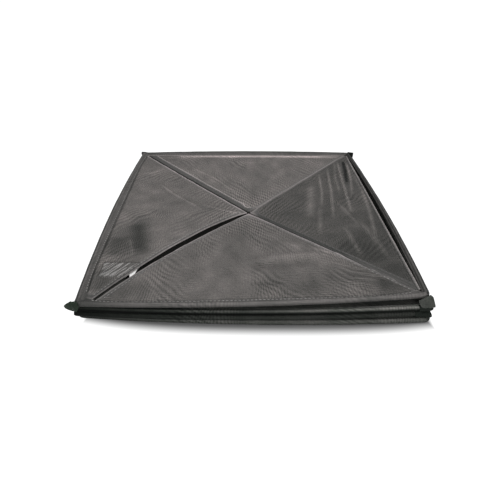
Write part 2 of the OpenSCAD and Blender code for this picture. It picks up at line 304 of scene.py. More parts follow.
def handling_group():
    """Slow, cloudy changes of tone and fine streaks along the thread, as handled cloth has."""
    group, w, given, result = new_group(
        "cloth_handling",
        [("Map", "Vector"), ("Dark", "Color"), ("Light", "Color")],
        [("Color", "Color"), ("Cloud", "Float")],
    )
    cloud = w.noise(given["Map"], 14, 3)
    streak = w.noise(given["Map"], 60, 2, (1, 9, 1))
    tone = w.math("ADD", w.math("MULTIPLY", cloud, 0.65), w.math("MULTIPLY", streak, 0.35))
    share = w.span(tone, 0.3, 0.7, 0, 1)
    colour = w.mix(share, given["Dark"], given["Light"])
    w.feed(result, {"Color": colour, "Cloud": cloud})
    return group


def shimmer_group():
    """Wavy bands that come and go, as where two layers of mesh beat against each other, with some grain."""
    group, w, given, result = new_group("mesh_shimmer", [("Map", "Vector")], [("Shimmer", "Float")])
    grain = w.math("SUBTRACT", w.noise(given["Map"], 260, 1), 0.5)
    blotch = w.math("SUBTRACT", w.noise(given["Map"], 42, 1, (1, 0.6, 1)), 0.5)
    total = w.math("ADD", grain, w.math("MULTIPLY", blotch, 1.1))
    for direction, scale, bend, place in (("X", 66, 11, 7), ("Y", 78, 12, 10), ("DIAGONAL", 44, 10, 8)):
        wave = w.add("ShaderNodeTexWave", {
            "Vector": given["Map"], "Scale": scale, "Distortion": bend, "Detail": 1, "Detail Scale": 0.35,
        })
        wave.bands_direction = direction
        where = w.span(w.noise(given["Map"], place, 1), 0.42, 0.66, 0.12, 1.25)
        band = w.math("MULTIPLY", w.math("SUBTRACT", wave.outputs["Fac"], 0.5), where)
        total = w.math("ADD", total, band)
    w.put(result.inputs["Shimmer"], total)
    return group


WEAVE = weave_group()
HANDLING = handling_group()
SHIMMER = shimmer_group()


def cloth_finish(name, dark, light, pitch, openness=0.1, holes=0.0, roughness=0.45, relief=0.0002,
                 shimmer=0.0, gloss=0.3):
    """Woven cloth, greener where it is dark. Holes is how much light passes between threads, from 0 to 1."""
    finish, w, shader = new_finish(name)
    chart = w.nodes.new("ShaderNodeUVMap").outputs["UV"]
    weave = w.group(WEAVE, {"Map": chart, "Thread Pitch": pitch, "Openness": openness})
    handled = w.group(HANDLING, {"Map": chart, "Dark": (*dark, 1), "Light": (*light, 1)})
    beat = w.group(SHIMMER, {"Map": chart})
    # The tone attribute brings in the painted light and shade laid on each piece.
    shade = w.math("MULTIPLY", w.span(weave["Thread"], 0, 1, 0.75, 1.0), w.attribute("tone"))
    shade = w.math("MULTIPLY", shade, w.math("MULTIPLY_ADD", beat["Shimmer"], shimmer, 1.0))
    tint = w.nodes.new("ShaderNodeCombineXYZ")
    for socket, power in zip(tint.inputs, (1.05, 1.0, 1.02)):
        w.put(socket, w.math("POWER", w.math("MAXIMUM", shade, 0.02), power))
    colour = w.nodes.new("ShaderNodeVectorMath")
    colour.operation = "MULTIPLY"
    w.put(colour.inputs[0], handled["Color"])
    w.put(colour.inputs[1], tint.outputs[0])
    bump = w.add("ShaderNodeBump", {"Strength": 0.5, "Distance": relief, "Height": weave["Height"]})
    if holes > 0:
        alpha = w.span(weave["Thread"], 0, 0.5, 1 - holes, 1.0)
        sheer = w.math("MULTIPLY_ADD", w.attribute("sheer"), -0.6, 1.0)
        w.put(shader.inputs["Alpha"], w.math("MULTIPLY", alpha, sheer))
    w.feed(shader, {
        "Base Color": colour.outputs[0],
        "Roughness": w.span(handled["Cloud"], 0.3, 0.7, roughness - 0.07, roughness + 0.07),
        "Normal": bump.outputs[0],
        "Sheen Weight": gloss / 4,
        "Sheen Roughness": 0.4,
        "Specular IOR Level": gloss,
    })
    return finish


# Where on the patch's map its plain corner begins, across and along it: the corner that shows in the slit,
# kept free of streaks and painted up to a fifth lighter as a highlight
PLAIN_ACROSS = (0.014, 0.02)
PLAIN_ALONG = (0.049, 0.054)
STREAK_SLANT = 38


def patch_finish(name):
    """A pale woven patch with slanting darker streaks, and a plain corner that is painted a little lighter
    as a highlight.
    """
    finish = cloth_finish(name, (0.6, 0.59, 0.58), (0.9, 0.89, 0.88), pitch=0.0024, openness=0.2,
                          relief=0.0001)
    w = Wiring(finish.node_tree)
    shader = finish.node_tree.nodes["Principled BSDF"]
    plain = shader.inputs["Base Color"].links[0].from_socket
    chart = w.nodes.new("ShaderNodeUVMap").outputs["UV"]
    turn = w.add("ShaderNodeMapping", {"Vector": chart, "Rotation": (0, 0, math.radians(STREAK_SLANT))})
    streak = w.span(w.noise(turn.outputs[0], 55, 1, (0.4, 4.5, 1)), 0.44, 0.6, 0.16, 1.05)
    x, y = w.split(chart)
    corner = w.math("MULTIPLY", w.span(x, *PLAIN_ACROSS, 0.0, 1.0), w.span(y, *PLAIN_ALONG, 0.0, 1.2))
    faded = w.nodes.new("ShaderNodeVectorMath")
    faded.operation = "SCALE"
    w.put(faded.inputs[0], plain)
    w.put(faded.inputs["Scale"], w.math("MAXIMUM", streak, corner))
    w.put(shader.inputs["Base Color"], faded.outputs[0])
    return finish


def metal_finish(name, colour, roughness):
    finish, w, shader = new_finish(name)
    drawn = w.noise(w.nodes.new("ShaderNodeTexCoord").outputs["Object"], 900, 2)
    wear_and_sheen = tuple(0.8 * c for c in colour)
    w.feed(shader, {
        "Base Color": w.mix(drawn, (*wear_and_sheen, 1), (*colour, 1)),
        "Metallic": 1.0,
        "Roughness": w.span(drawn, 0.3, 0.7, roughness - 0.08, roughness + 0.08),
    })
    return finish


MESH = cloth_finish("flap_mesh", (0.146, 0.138, 0.131), (0.242, 0.222, 0.212), pitch=0.0016,
                    openness=0.72, holes=0.92, roughness=0.5, shimmer=0.5)
# A much darker, less glossy copy of the flap mesh for the walls and floor inside the trap: painted shade for
# the dark interior.
SHADED_MESH = cloth_finish("shaded_inner_mesh", (0.02, 0.021, 0.019), (0.04, 0.04, 0.037), pitch=0.0016,
                    openness=0.5, holes=0.3, roughness=0.7, shimmer=0.3, gloss=0.02)
HEM = cloth_finish("hem_mesh", (0.1, 0.096, 0.092), (0.155, 0.146, 0.142), pitch=0.0012,
                   openness=0.2, shimmer=0.3)
TAPE = cloth_finish("binding_tape", (0.08, 0.078, 0.074), (0.128, 0.12, 0.116), pitch=0.0011,
                    shimmer=0.3, gloss=0.2)
# A darker, greener copy of the binding tape for the three hoops under the top one and the upper hoop's tape
# end: painted shade for where they lie under the top hoop.
SHADED_TAPE = cloth_finish("shaded_lower_tape", (0.05, 0.056, 0.049), (0.095, 0.095, 0.089), pitch=0.0011,
                        roughness=0.5, shimmer=0.5, gloss=0.03)
GREEN_TAPE = cloth_finish("tape_end", (0.012, 0.022, 0.013), (0.034, 0.046, 0.034), pitch=0.0011,
                          roughness=0.5, shimmer=0.4, gloss=0.1)
# A near-black copy of the tape for the back-right tape end and the corner wraps: painted shade, so that they
# read as lying in shadow.
SHADOW_TAPE = cloth_finish("shadow_tape", (0.008, 0.011, 0.009), (0.03, 0.034, 0.03), pitch=0.0011,
                         roughness=0.5, shimmer=0.4, gloss=0.03)
PATCH = patch_finish("patch_cloth")
# A darker copy of the thread for the right flap's hems: painted shade, as the right flap is painted in
# shade.
SHADED_THREAD = cloth_finish("shaded_thread", (0.09, 0.088, 0.085), (0.16, 0.155, 0.15),
                           pitch=0.0006, relief=0.0001)
THREAD = cloth_finish("thread", (0.2, 0.195, 0.19), (0.36, 0.35, 0.34), pitch=0.0006, relief=0.0001)
PALE_THREAD = cloth_finish("pale_thread", (0.4, 0.4, 0.38), (0.6, 0.6, 0.57), pitch=0.0006, relief=0.0001)
STEEL = metal_finish("spring_steel", (0.55, 0.55, 0.57), 0.35)
SLEEVE = metal_finish("crimped_sleeve", (0.72, 0.72, 0.73), 0.45)


# Stitching: one short thread, modelled once and repeated along a seam

STITCH_L = 0.0045
STITCH_R = 0.0008


def model_stitch():
    deselect_all()
    bpy.ops.mesh.primitive_uv_sphere_add(segments=6, ring_count=4, radius=1)
    stitch = bpy.context.object
    bpy.ops.transform.resize(value=(STITCH_L / 2, STITCH_R, STITCH_R * 0.8))
    bpy.ops.object.transform_apply(scale=True)
    points = np.array([v.co for v in stitch.data.vertices])
    faces = [tuple(f.vertices) for f in stitch.data.polygons]
    bpy.data.objects.remove(stitch)
    return points, faces


STITCH = model_stitch()


def stitch_row(name, line, pitch, thread=None):
    """Stitches along a line of points in space, each turned to follow it."""
    points, faces = STITCH
    reach = np.concatenate([[0], np.cumsum(np.linalg.norm(np.diff(line, axis=0), axis=1))])
    starts = np.arange(pitch, reach[-1] - pitch, pitch)

    def on_line(reached):
        return np.stack([np.interp(reached, reach, line[:, i]) for i in range(3)], -1)

    at = on_line(starts)
    along = on_line(starts + pitch / 4) - at
    along /= np.linalg.norm(along, axis=1)[:, None]
    side = np.cross([0, 0, 1], along)
    side /= np.linalg.norm(side, axis=1)[:, None]
    up = np.cross(along, side)
    sets = at[:, None] + points[:, 0, None] * along[:, None] + points[:, 1, None] * side[:, None]
    sets += points[:, 2, None] * up[:, None]
    mesh = bpy.data.meshes.new(name)
    count = len(points)
    mesh.from_pydata(
        sets.reshape(-1, 3).tolist(), [],
        [tuple(v + i * count for v in f) for i in range(len(at)) for f in faces],
    )
    mesh.uv_layers.new(name="UVMap")
    paint(mesh, "tone", np.ones(len(mesh.vertices)))
    mesh.shade_smooth()
    row = bpy.data.objects.new(name, mesh)
    bpy.context.scene.collection.objects.link(row)
    return dress(row, thread or THREAD)


# Binding tapes: a strip folded round the wire, its two legs sewn together as the hem

LEG_STEPS = 7
ROLL_STEPS = 18
ROLL_FROM = 35.0
SIDE_STEPS = 110
CORNER_STEPS = 8
RINGS = SIDE_STEPS + 2 * CORNER_STEPS
ROLL_INSET = 0.0001
ROLL_UNEVEN = 0.035
ROLL_WAVE = 0.11
LEG_UNEVEN = 0.0003
LEG_WAVE = 0.05
STITCH_PITCH = 0.0068
STITCH_LIFT = 0.0001
SEAM_AT = 0.7


def tape_section():
    """Once across the strip: how far along a leg, and the angle round the roll or where a leg leaves it."""
    leg = np.linspace(1, 0, LEG_STEPS + 1)
    angles = np.radians(np.linspace(360 - ROLL_FROM, ROLL_FROM, ROLL_STEPS + 1))
    rolled = np.zeros(ROLL_STEPS - 1)
    far = np.concatenate([leg, rolled, leg[::-1]])
    first, last = (np.full(LEG_STEPS + 1, end) for end in (angles[0], angles[-1]))
    angle = np.concatenate([first, angles[1:-1], last])
    return far, angle


# How far a corner of a binding stands out in a point, by hoop and the side that ends there
EARS = {("top", "left"): 0.004, ("top", "front"): 0.001, ("top", "right"): 0.003, ("top", "back"): 0.014,
        ("lower", "front"): 0.008, ("bottom", "front"): 0.0}
EAR = 0.003
# How far a roll is puffed out over its wire at the front, middle and back of a side
PUFF = {("top", "left"): (0.0012, 0.0022, 0.0004), ("top", "right"): (0.0018, 0.0002, -0.0006)}


def corner_ear(hoop, side, ring):
    """How far the binding stands out beyond its roll at each ring, in a point at its two corners."""
    before = SIDES[SIDES.index(side) - 1]
    out = np.zeros(len(ring))
    for end, corner in ((0, before), (RINGS, side)):
        near = np.clip(1 - np.abs(ring - end) / CORNER_STEPS, 0, 1)
        out += EARS.get((hoop, corner), EAR) * near ** 1.5
    return out


def tape_point(hoop, side, ring, far, angle, lifted=0.0, swell=0.0):
    """A point of a tape: far 0 is on the roll, at that angle; far 1 is the sewn edge of the hem."""
    line, normal = side_line(SIDE_STEPS, CORNER_STEPS)
    p, n = line[ring], normal[ring]
    seed = HOOPS.index(hoop) * 4 + SIDES.index(side)
    radius = ROLL_R * (1 + ROLL_UNEVEN * ripple(p[:, 0], seed, ROLL_WAVE)) - ROLL_INSET + swell
    front, middle, back = PUFF.get((hoop, side), (0.0, 0.0, 0.0))
    t = p[:, 0] / HOOP_HALF * (1 if side == "left" else -1)
    puff = np.interp(t, (-1, 0, 1), (back, middle, front))
    outward = (corner_ear(hoop, side, ring) + puff) * np.clip(0.3 - np.cos(angle), 0, 1)
    roll = p + n * (radius * np.cos(angle) - outward)[:, None]
    if (hoop, side) == ("top", "right"):
        hem = p + n * (ROLL_R + LIP / 8)
    else:
        edge = flange_edge(side, p[:, 0]) if hoop == "top" else HEM_HALF
        hem = p * (edge / np.abs(p[:, 1]))[:, None]
    plan = roll + (hem - roll) * far[:, None]
    uneven = LEG_UNEVEN * ripple(p[:, 0], seed + 1, LEG_WAVE) * far
    leg_z = np.sign(np.sin(angle)) * (LEG_Z + lifted + uneven)
    z = radius * np.sin(angle)
    z = np.where(far > 0, leg_z + (z - leg_z) * (1 - far) ** 2.5, z)
    if hoop == "bottom":
        z = np.maximum(z, -REST_Z)
    x, y = spin(plan[:, 0], plan[:, 1], side)
    return hoop_at(hoop, x, y, z)


# How light the tape is painted at some angles round the roll: a painted highlight along the crest of the
# front, right and left rolls, painted shade over the flanks that face away from the light, and painted shade
# on the back roll
ROLL_SHADING = {
    "front": ((35, 85, 105, 130, 170, 230), (1.0, 1.15, 1.4, 1.15, 0.9, 0.6)),
    "right": ((35, 66, 80, 92, 110, 140, 165), (0.3, 0.45, 1.3, 0.4, 0.15, 0.2, 0.7)),
    "back": ((35, 60, 80, 100, 125, 155), (0.75, 0.7, 0.5, 0.2, 0.3, 0.7)),
    "left": ((35, 70, 85, 97, 112, 140, 165), (0.95, 1.0, 1.4, 0.6, 0.15, 0.2, 0.7)),
}
# How much lighter the sewn edge is painted: a painted highlight, brightest as the sheen line along the back,
# and a touch of painted shade on the left
EDGE_HIGHLIGHT = {"front": 0.6, "right": 0.0, "back": 2.2, "left": -0.1}
# How light the lower hoops' front bindings are painted, at some places from left to right: painted shade
# where they lie under the stack, darkest towards the left, and painted light where the upper one stands out
# at the right
FRONT_AT = (-0.28, -0.225, -0.157, -0.08, 0.0, 0.1, 0.262, 0.285)
FRONT_SHADING = {
    "bottom": (0.35, 0.5, 0.8, 0.95, 0.98, 1.0, 1.05, 0.35),
    "lower": (0.1, 0.15, 0.28, 0.38, 0.4, 0.4, 0.4, 0.35),
    "upper": (0.15, 0.2, 0.27, 0.5, 0.47, 0.9, 1.5, 1.5),
}
# How light the top hoop's bindings are painted, at some places along them: painted shade towards the
# front-left corner on the front and left bindings, and towards the back on the right one
TOP_SHADING = {
    "front": ((-0.27, -0.215, -0.15, -0.08), (0.42, 0.74, 0.87, 1.0)),
    "right": ((-0.28, 0.05, 0.28), (1.1, 0.9, 0.5)),
    "left": ((0.19, 0.27), (1.0, 0.7)),
}


def tape_tone(hoop, side, x, far, angle):
    """Painted light and shade on the tape: a painted highlight along the sewn edge, painted shade in the
    stitched groove, round the roll and along the sides as the tables give, and the upper hoop's front roll
    painted black underneath, in the dark gap below it.
    """
    edge = EDGE_HIGHLIGHT[side] * np.exp(-((far - 1) / 0.16) ** 2)
    # Painted shade in the stitched groove.
    groove_shade = -0.35 * np.exp(-((far - SEAM_AT) / 0.12) ** 2)
    tone = np.where(far > 0, 1 + edge + groove_shade, np.interp(np.degrees(angle), *ROLL_SHADING[side]))
    if hoop == "top" and side in TOP_SHADING:
        tone = tone * np.interp(x, *TOP_SHADING[side])
    if side == "front" and hoop != "top":
        tone = tone * np.interp(x, FRONT_AT, FRONT_SHADING[hoop])
    # Painted shade: the upper hoop's front roll goes black underneath, where it lies in the dark gap.
    if side == "front" and hoop == "upper":
        tone = tone * np.interp(np.degrees(angle), (116, 126, 140, 162), (1.25, 1.1, 0.55, 0.1))
    return tone


def binding_tape(hoop, side):
    far, angle = tape_section()
    fold = tape_point(hoop, side, np.full(len(far), RINGS // 4), far, angle)
    width = path_length(fold)

    def place(u, v):
        step = np.rint(v * (len(far) - 1)).astype(int)
        return tape_point(hoop, side, np.rint(u * RINGS).astype(int), far[step], angle[step])

    def tone(u, v):
        step = np.rint(v * (len(far) - 1)).astype(int)
        return tape_tone(hoop, side, (2 * u - 1) * HOOP_HALF, far[step], angle[step])

    # The hoops under the top one wear the painted-shade copy of the tape.
    finish = TAPE if hoop == "top" else SHADED_TAPE
    node = f"{hoop}_{side}_tape"
    tape = lay_cloth(node + "_cloth", RINGS, len(far) - 1, place, (2 * HOOP_HALF, width), tone)
    thicken(tape, TAPE_T, -1)
    dress(tape, finish)
    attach(tape, HOOP_BODY[hoop])
    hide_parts(node)
    if (hoop, side) != ("top", "right"):
        ring = np.arange(CORNER_STEPS, RINGS - CORNER_STEPS + 1)
        seam = np.full(len(ring), SEAM_AT)
        for label, turn in (("upper", ROLL_FROM), ("under", 360 - ROLL_FROM)):
            leg = np.full(len(ring), math.radians(turn))
            line = tape_point(hoop, side, ring, seam, leg, STITCH_LIFT)
            row = stitch_row(f"{node}_{label}_stitches", line, STITCH_PITCH)
            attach(row, HOOP_BODY[hoop])


for hoop in HOOPS:
    for side in SIDES:
        binding_tape(hoop, side)
    for node, finish in ((hoop + "_wire", STEEL), (hoop + "_ferrule", SLEEVE)):
        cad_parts[node].data.materials.clear()
        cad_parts[node].data.materials.append(finish)


# Walls: a band of mesh from hoop to hoop, folded inward

TIERS = (
    ("lower_wall", "bottom", "lower", 0.0062, 0.0116),
    ("middle_wall", "lower", "upper", 0.0167, 0.0213),
    ("upper_wall", "upper", "top", 0.0274, 0.0309),
)
WALL_ROWS = 24
WALL_SIDE_STEPS = 60
ROOT_Z = 0.0019
SCALLOP = 0.004
SCALLOP_WAVE = 0.025


def wall_loop():
    line = side_line(WALL_SIDE_STEPS, CORNER_STEPS)[0][:-1]
    return np.concatenate([np.stack(spin(line[:, 0], line[:, 1], side), -1) for side in SIDES])


def tier_wall(node, below, above, blend_from, blend_to):
    loop = wall_loop()
    crease_z = (blend_from + blend_to) / 2

    def place(u, v):
        p = loop[np.rint(u * len(loop)).astype(int) % len(loop)]
        reach = np.abs(2 * v - 1)
        scallop = SCALLOP * ripple(u, 3, SCALLOP_WAVE) * (1 - reach)
        depth = WALL_IN + (FOLD_DEPTH - WALL_IN) * (1 - reach) + scallop
        plan = p * (1 - depth / np.abs(p).max(1))[:, None]
        low = hoop_at(below, plan[:, 0], plan[:, 1], ROOT_Z)
        high = hoop_at(above, plan[:, 0], plan[:, 1], -ROOT_Z)
        laid = low + (high - low) * v[:, None]
        root = np.where(v < 0.5, low[:, 2], high[:, 2])
        laid[:, 2] = crease_z + (root - crease_z) * reach ** 3
        return laid

    def tone(u, v):
        p = loop[np.rint(u * len(loop)).astype(int) % len(loop)]
        # Painted shade: the top of the upper wall on the right side is darkened, where it lies in the dark
        # gap under the right flap's free edge.
        gap_shade = (p[:, 0] > np.abs(p[:, 1])) & (above == "top") & (v > 0.5)
        return np.where(gap_shade, 1 - 0.85 * np.clip(4 * v - 2.6, 0, 1), 1.0)

    cut = (8 * HOOP_HALF, 2 * (FOLD_DEPTH - WALL_IN))
    wall = lay_cloth(node + "_cloth", len(loop), WALL_ROWS, place, cut, tone)
    thicken(close_loop(wall), MESH_T)
    dress(wall, SHADED_MESH)
    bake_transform(wall)
    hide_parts(node)


for tier in TIERS:
    tier_wall(*tier)


FLOOR_TUCK = 0.004
FLOOR_WAVE = 0.0006
FLOOR_SAG = 0.0008
FLOOR_STEPS = 90


def floor_mesh():
    half = HEM_HALF + FLOOR_TUCK

    def place(u, v):
        x, y = (2 * u - 1) * half, (2 * v - 1) * half
        rim = np.clip(4 * (1 - np.maximum(abs(2 * u - 1), abs(2 * v - 1))), 0, 1)
        wave = ripple(x + 0.6 * y, 1, 0.21) + ripple(y - 0.3 * x, 5, 0.16)
        return hoop_at("bottom", x, y, FLOOR_WAVE * rim * wave - FLOOR_SAG * rim)

    cloth = lay_cloth("floor_cloth", FLOOR_STEPS, FLOOR_STEPS, place, (2 * half, 2 * half))
    thicken(cloth, MESH_T)
    # The floor wears the painted-shade copy of the mesh.
    dress(cloth, SHADED_MESH)
    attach(cloth, "base")
    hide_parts("floor_mesh")


floor_mesh()


# Flaps. A fold is a run of plan points with its half-width, its height and how much lighter it is painted:
# painted highlight along ridges and as the sheen line by the back binding, painted shade in valleys, and
# broad darker patches with no height.

FOLDS = {
    "right": (
        (((0.268, 0.240), (0.261, 0.180), (0.252, 0.120)), 0.0035, -0.0045, -1.7),
        (((0.275, 0.236), (0.270, 0.180), (0.262, 0.118), (0.250, 0.060)), 0.003, 0.002, 0.75),
        (((0.253, 0.239), (0.243, 0.150), (0.238, 0.079), (0.230, -0.022)), 0.003, 0.0028, 0.83),
        (((0.241, 0.230), (0.228, 0.140), (0.222, 0.060)), 0.003, 0.0015, 0.45),
        (((0.217, 0.200), (0.205, 0.080), (0.186, -0.040)), 0.003, 0.0022, 0.75),
        (((0.189, 0.165), (0.181, 0.074), (0.170, 0.010)), 0.003, 0.0018, 0.6),
        (((0.162, 0.115), (0.148, 0.040), (0.135, -0.039)), 0.009, 0.0022, 0.45),
        (((0.278, 0.157), (0.278, 0.066), (0.270, -0.023), (0.255, -0.128)), 0.004, 0.0016, 0.52),
        (((0.208, 0.022), (0.232, -0.070)), 0.004, 0.0014, 0.38),
        (((0.203, -0.079), (0.212, -0.178)), 0.005, 0.0014, 0.38),
        (((0.164, 0.001), (0.147, -0.096)), 0.005, 0.0014, 0.38),
        (((0.240, -0.060), (0.262, -0.190)), 0.006, 0.0012, 0.3),
        (((0.262, -0.010), (0.270, -0.200)), 0.035, 0.0, -0.16),
        (((0.190, -0.120), (0.240, -0.210)), 0.040, 0.0, -0.28),
        (((0.262, -0.200), (0.277, -0.262)), 0.030, 0.0, -0.16),
    ),
    "front": (
        (((0.010, -0.186), (0.079, -0.172), (0.140, -0.169)), 0.010, 0.003, 0.32),
        (((0.007, -0.203), (0.070, -0.199), (0.120, -0.190)), 0.010, -0.0022, -0.2),
        (((0.119, -0.145), (0.181, -0.178), (0.228, -0.215)), 0.004, 0.002, 0.35),
        (((0.140, -0.188), (0.175, -0.208), (0.232, -0.228), (0.262, -0.248)), 0.003, 0.0018, 0.32),
        (((0.146, -0.200), (0.182, -0.226), (0.233, -0.241), (0.264, -0.256)), 0.003, 0.0018, 0.4),
        (((0.150, -0.215), (0.180, -0.243), (0.225, -0.252)), 0.003, 0.0014, 0.3),
        (((0.150, -0.230), (0.172, -0.255), (0.210, -0.262)), 0.003, 0.0012, 0.25),
        (((0.003, -0.252), (0.064, -0.252)), 0.005, -0.0014, -0.2),
        (((-0.060, -0.130), (-0.080, -0.200)), 0.012, 0.0014, 0.15),
        (((0.040, -0.090), (0.070, -0.130), (0.115, -0.150)), 0.008, 0.0014, 0.15),
        (((0.130, -0.235), (0.250, -0.250)), 0.030, 0.0, -0.3),
        (((0.212, -0.262), (0.300, -0.276)), 0.026, 0.0, -0.4),
        (((-0.265, -0.266), (-0.170, -0.266)), 0.026, 0.0, -0.28),
        (((0.000, -0.268), (0.130, -0.264)), 0.024, 0.0, -0.22),
    ),
    "left": (
        (((-0.222, 0.120), (-0.179, 0.071), (-0.144, 0.040), (-0.108, 0.008)), 0.003, 0.0018, 0.42),
        (((-0.104, 0.028), (-0.069, 0.0115), (-0.045, 0.003), (-0.016, -0.004)), 0.003, 0.0016, 0.5),
        (((-0.270, 0.170), (-0.249, 0.176), (-0.214, 0.204)), 0.006, 0.0016, 0.2),
        (((-0.244, -0.115), (-0.240, -0.125), (-0.227, -0.168)), 0.003, 0.0012, 0.3),
        (((-0.246, -0.050), (-0.228, -0.100), (-0.213, -0.168)), 0.022, 0.0, -0.74),
        (((-0.270, -0.105), (-0.262, -0.172)), 0.024, 0.0, -0.6),
        (((-0.266, -0.200), (-0.264, -0.268)), 0.026, 0.0, -0.55),
    ),
    "back": (
        (((-0.145, 0.210), (-0.068, 0.137), (-0.020, 0.073)), 0.003, 0.0014, 0.3),
        (((0.110, 0.215), (0.060, 0.140)), 0.008, 0.0016, 0.15),
        (((-0.100, 0.232), (-0.040, 0.240), (0.040, 0.236)), 0.010, 0.001, 0.15),
        (((-0.190, 0.2765), (0.040, 0.2765), (0.262, 0.272)), 0.0055, 0.0014, 3.1),
        (((-0.262, 0.258), (-0.190, 0.255)), 0.010, 0.0, -0.35),
    ),
}
# How light each flap is painted overall: the right flap painted in shade, the back flap painted lighter for
# its sheen.
FLAP_SHADING = {"front": 0.94, "right": 0.58, "back": 1.1, "left": 1.04}
GATHER_H = 0.003
GATHER_REACH = 0.150
GATHER_FADE = 0.060
GATHERS = 12
RIM = 0.06
FLUTTER = 0.0005
FLUTTER_WAVE = 0.09


def fold_height(x, y, run, half_width):
    """How near each plan point is to a fold: 1 on it, 0 well away, fading at its two ends."""
    best = np.zeros_like(x)
    for i, ((x0, y0), (x1, y1)) in enumerate(zip(run, run[1:])):
        dx, dy = x1 - x0, y1 - y0
        t = ((x - x0) * dx + (y - y0) * dy) / (dx * dx + dy * dy)
        held = np.clip(t, 0, 1)
        gap = np.hypot(x - x0 - held * dx, y - y0 - held * dy)
        done = (i + held) / (len(run) - 1)
        fade = np.clip(4 * done * (1 - done) * 1.6, 0, 1)
        best = np.maximum(best, np.exp(-(gap / half_width) ** 2) * (0.25 + 0.75 * fade))
    return best


def flap_z(flap, x, y):
    """Height of a flap below the hem at plan points in the front flap's place: sag, gathers and folds."""
    near = np.clip(1 - np.maximum(np.abs(x), -y) / HEM_HALF, 0, 1)
    z = -FLAP_SAG * near ** 1.2
    px, py = spin(x, y, flap)
    rim = np.clip(near / RIM, 0, 1)
    if flap == "right":
        from_x, from_y = HEM_HALF - x, y + HEM_HALF
        angle = np.arctan2(from_y, from_x)
        reach = np.hypot(from_x, from_y) / GATHER_REACH
        fade = np.clip(from_y / GATHER_FADE, 0, 1) * np.exp(-3 * (reach - 0.7) ** 2)
        z = z + GATHER_H * np.sin(GATHERS * angle) * fade
    for run, half_width, height, _ in FOLDS[flap]:
        z = z + height * rim * fold_height(px, py, run, half_width)
    return z + FLUTTER * rim * ripple(x + 0.4 * y, 2, FLUTTER_WAVE) * np.clip(near * 4, 0, 1)


# Painted light and shade on a flap: its overall lightness and the painted highlights, shade and darker
# patches of its folds.
def flap_tone(flap, x, y):
    px, py = spin(x, y, flap)
    tone = np.full_like(x, FLAP_SHADING[flap])
    for run, half_width, _, lighter in FOLDS[flap]:
        tone = tone + lighter * fold_height(px, py, run, half_width)
    # A painted shadow line along the inner edge of the binding, where the flap runs under it.
    if flap != "right":
        groove_shade = 0.6 if flap == "left" else 0.3
        tone = tone - groove_shade * np.exp(-((flange_edge(flap, x) + y - 0.0015) / 0.0022) ** 2)
    return np.clip(tone, 0.08, None)


EDGE_GAP = 0.0007


def flap_edge(flap, hand, y):
    """Where a flap's slanted edge lies, on the left (-1) or right (1), with the curve of its seam."""
    j = SIDES.index(flap)
    seam = j if hand < 0 else (j + 1) % 4
    s = np.clip(1 + y / HEM_HALF, -0.05, 1)
    bulge = np.clip(4 * s * (1 - s), 0, 1)
    curve = SEAM_BOW[seam] * bulge
    gap = np.full_like(s, SEAM_GAP[seam])
    if seam == 0:
        curve = curve - SLIT_END * (1 - s) ** 2
        gap = gap * (0.6 + 0.4 * s) + (SLIT_GAP - SEAM_GAP[0]) * bulge * (0.5 + 0.5 * s)
    reach = -y + math.sqrt(2) * (-hand * curve - gap / 2)
    beside = SIDES[(j + 1) % 4] if hand > 0 else SIDES[j - 1]
    return hand * np.minimum(reach, flange_edge(beside, y) - EDGE_GAP)


def flap_at(flap, x, y, z):
    px, py = spin(x, y, flap)
    return hoop_at("top", px, py, flap_z(flap, x, y) + z)


FLAP_COLS = 150
FLAP_ROWS = 130
TUCK = 0.005
TIP_Y = 0.0045
EDGE_INSET = 0.0006


def bend_at_hem(piece, flap):
    """The right flap's pieces hang on the right flap; the pieces of the other flaps are baked where they
    lie.
    """
    body = flap + "_flap"
    if flap == "right":
        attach(piece, body)
        return
    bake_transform(piece)


OUTER_ROWS = 0.1
PATCH_L = 0.068
PATCH_W = 0.041
PATCH_IN = 0.002
PATCH_BACK = 0.094
PATCH_T = 0.0005
PATCH_DROP = 0.0022
PATCH_RIM = 0.003
# Where along the patch its corner reaches out into the slit, and how far
CORNER_FROM, CORNER_TO = 0.79, 0.955
CORNER_RAMP = 0.045
CORNER_OUT = 0.018


def paint_sheer(mesh):
    """Where the mesh is pulled thin over the patch, so that the patch shows through."""
    middle = hoop_at("top", -HEM_HALF + PATCH_IN + PATCH_L / 2, PATCH_BACK - HEM_HALF - PATCH_W / 2, 0.0)
    off = np.abs(rows_of(mesh.vertices, "co", 3) - middle)
    inside = np.minimum(PATCH_L / 2 - off[:, 0], PATCH_W / 2 - off[:, 1])
    paint(mesh, "sheer", np.clip(inside / PATCH_RIM + 0.5, 0, 1))


def outer_edge(flap, x):
    """How far out a flap's cloth reaches: under its binding, or to its own free edge on the right."""
    if flap == "right":
        return np.full_like(x, FREE_EDGE - 0.001)
    return flange_edge(flap, x) + TUCK


def flap_plan(flap, u, v):
    """Plan points of a flap in the front flap's place: its first rows follow the curve of its outer edge."""
    hem_y = np.full_like(u, -HEM_HALF)
    low, high = flap_edge(flap, -1, hem_y), flap_edge(flap, 1, hem_y)
    out = outer_edge(flap, low + (high - low) * u) - HEM_HALF
    y = np.where(
        v < OUTER_ROWS,
        -HEM_HALF - out * (1 - v / OUTER_ROWS),
        -HEM_HALF + (HEM_HALF - TIP_Y) * (v - OUTER_ROWS) / (1 - OUTER_ROWS),
    )
    low, high = flap_edge(flap, -1, y) + EDGE_INSET, flap_edge(flap, 1, y) - EDGE_INSET
    return low + (high - low) * u, y


